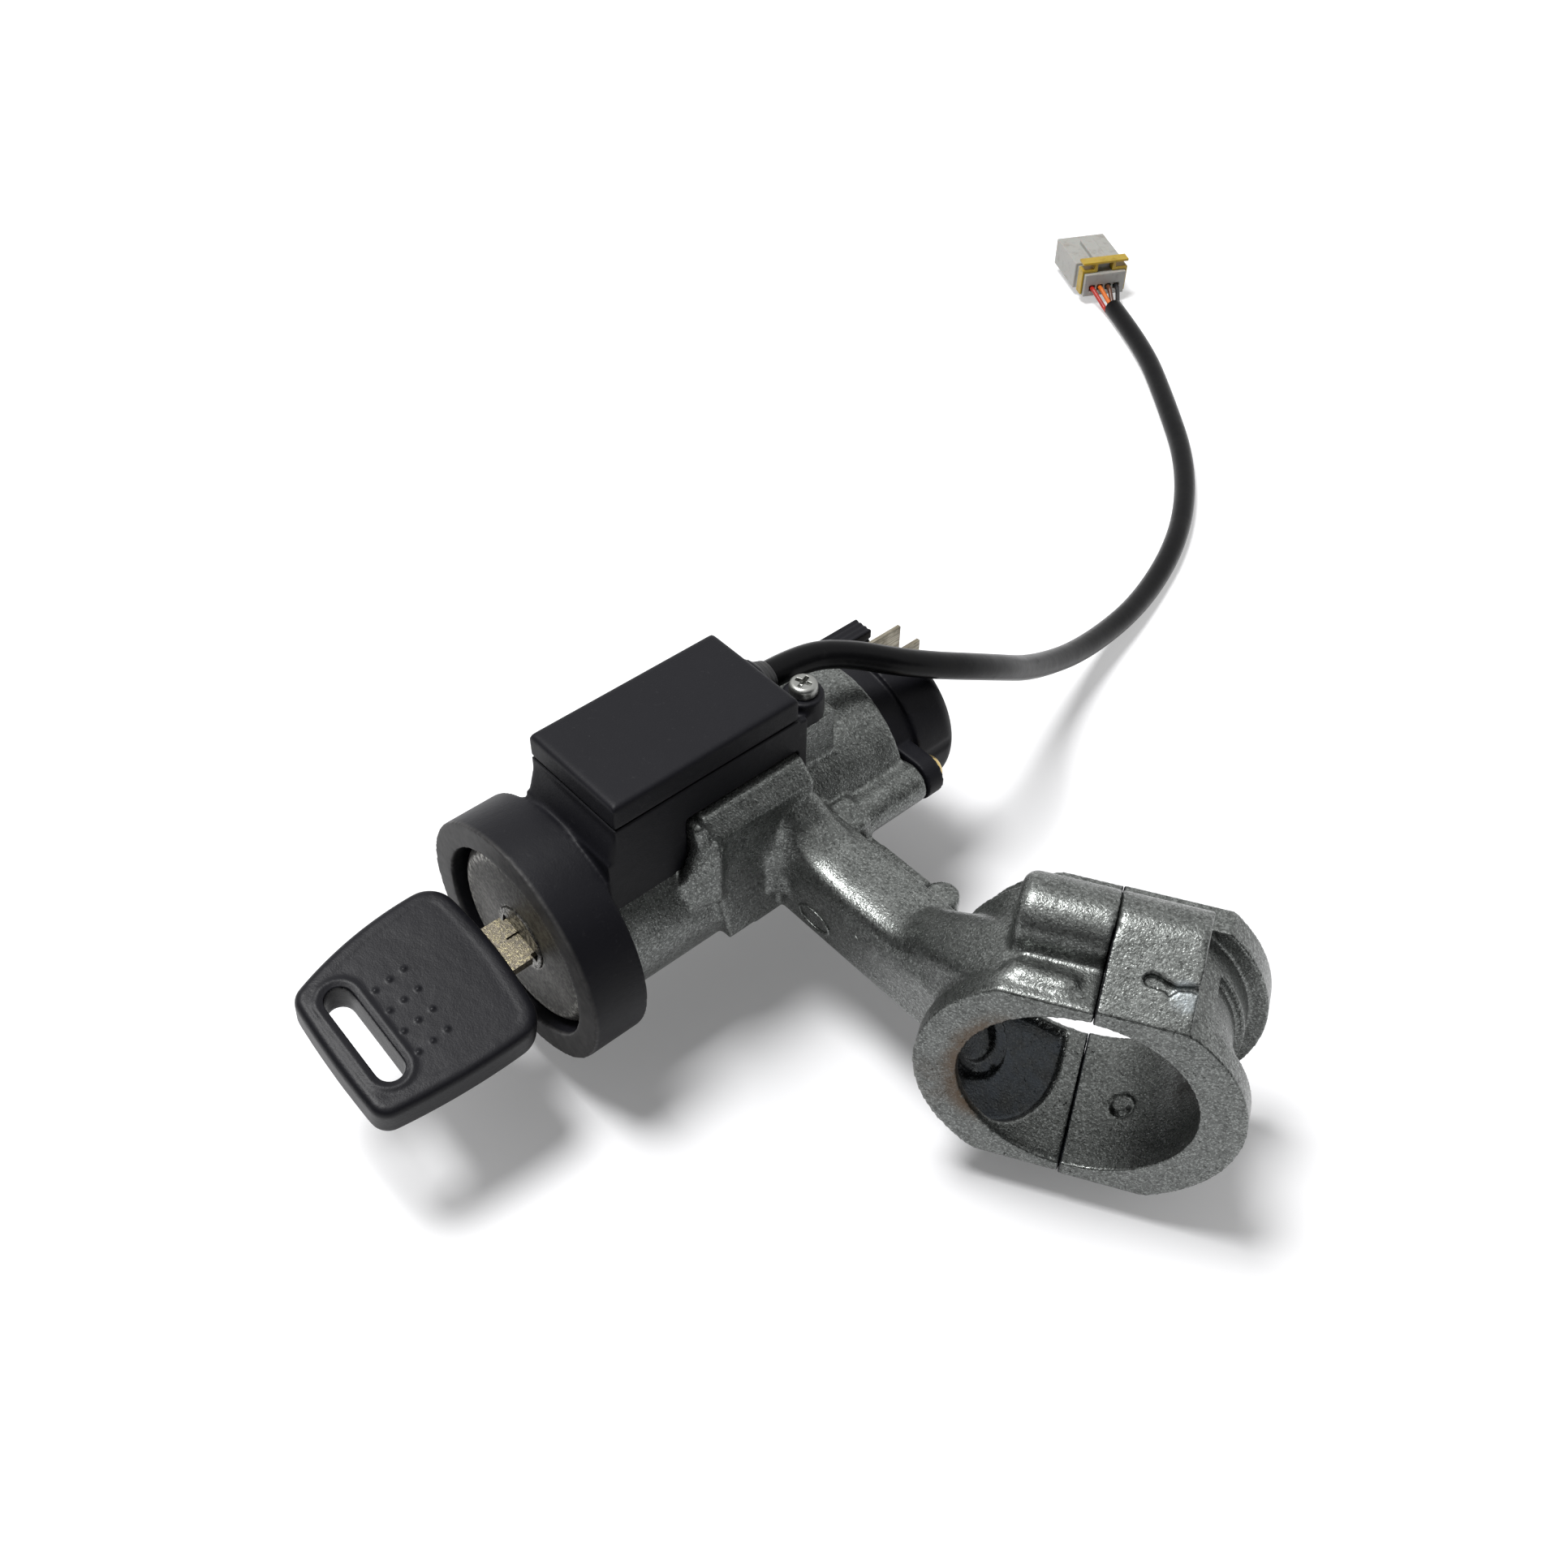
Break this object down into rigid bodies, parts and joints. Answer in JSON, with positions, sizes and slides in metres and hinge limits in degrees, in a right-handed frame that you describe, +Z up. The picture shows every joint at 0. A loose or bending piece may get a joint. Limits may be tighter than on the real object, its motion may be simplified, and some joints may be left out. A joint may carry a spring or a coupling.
{
  "type": "ignition switch",
  "caption": "Ignition lock with steering lock bolt in a zinc arm and split column clamp, aerial case round the lock, rear switch, wired connector and key in place.",
  "frame": {"origin": "centre of the aerial ring's front face, on the lock's axis", "axes": "+Y back along the lock's axis, +X along the arm towards the column clamp, +Z up through the aerial case"},
  "size_m": [0.2476, 0.3507, 0.0686],
  "materials": {
    "zinc_casting": "zinc alloy, pressure die-cast, grained and dull",
    "worn_face": "zinc alloy, worn bright at the rim",
    "zinc_steel": "zinc-plated steel",
    "bright_steel": "bright plated steel",
    "spring_steel": "oiled spring steel",
    "brass": "yellow brass, satin",
    "copper": "copper, satin",
    "tinned_brass": "tinned brass, dull",
    "key_nickel": "nickel-plated brass, worn and grained",
    "natural_plastic": "natural moulded plastic",
    "black_plastic": "black moulded plastic, fine texture",
    "key_plastic": "black moulded plastic, satin",
    "white_plastic": "white moulded plastic",
    "yellow_plastic": "yellow moulded plastic",
    "black_rubber": "black rubber",
    "cable_black": "glossy black cable sheath",
    "wire_red": "red insulation",
    "wire_orange": "orange insulation",
    "wire_brown": "brown insulation",
    "board": "green coated board",
    "components": "black moulded components"
  },
  "bodies": {
    "lock_body": {"lock_housing": "zinc_casting", "clamp_cap": "zinc_casting", "shear_bolts": "zinc_steel", "chamber_cover": "zinc_casting", "lock_sleeve": "worn_face", "retaining_pin": "zinc_steel", "return_spring": "spring_steel", "bolt_spring": "spring_steel", "aerial_case": "black_plastic", "case_lid": "black_plastic", "case_screw": "bright_steel", "aerial_coil": "copper", "circuit_board": "board", "board_components": "components", "cable_grommet": "black_rubber", "cable_sheath": "cable_black", "wire_red": "wire_red", "wire_orange": "wire_orange", "wire_brown": "wire_brown", "wire_black": "cable_black", "connector_housing": "white_plastic", "connector_retainer": "yellow_plastic", "connector_terminals": "tinned_brass", "switch_housing": "black_plastic", "contact_plate": "natural_plastic", "switch_terminals": "tinned_brass", "switch_screws": "brass"},
    "rotor_assembly": {"rotor": "zinc_casting", "spindle": "zinc_casting", "hold_back_cam": "zinc_steel", "contact_carrier": "natural_plastic", "contact_springs": "spring_steel", "contact_bridges": "copper"},
    "upper_wafers": {"wafers_upper": "brass"},
    "lower_wafers": {"wafers_lower": "brass"},
    "key": {"key_blade": "key_nickel", "key_head": "key_plastic", "transponder": "components"},
    "lock_bolt": {"steering_bolt": "zinc_steel", "bolt_slide": "zinc_casting"}
  },
  "joints": [
    {"name": "ignition_turn", "type": "hinge", "parent": "lock_body", "child": "rotor_assembly", "pos_m": [0, 0.02, 0], "axis": [0, 1, 0], "range_deg": [0, 120]},
    {"name": "key_withdrawal", "type": "slide", "parent": "rotor_assembly", "child": "key", "axis": [0, -1, 0], "range_m": [0, 0.038]},
    {"name": "upper_wafer_lift", "type": "slide", "parent": "rotor_assembly", "child": "upper_wafers", "axis": [0.9781, 0, -0.2079], "range_m": [0, 0.001]},
    {"name": "lower_wafer_drop", "type": "slide", "parent": "rotor_assembly", "child": "lower_wafers", "axis": [-0.9781, 0, 0.2079], "range_m": [0, 0.001]},
    {"name": "bolt_travel", "type": "slide", "parent": "lock_body", "child": "lock_bolt", "axis": [1, 0, 0], "range_m": [0, 0.008]}
  ],
  "couplings": [
    {"joint": "upper_wafer_lift", "follows": "key_withdrawal", "ratio": 0.026},
    {"joint": "lower_wafer_drop", "follows": "key_withdrawal", "ratio": 0.026},
    {"joint": "bolt_travel", "follows": "key_withdrawal", "ratio": 0.21}
  ]
}
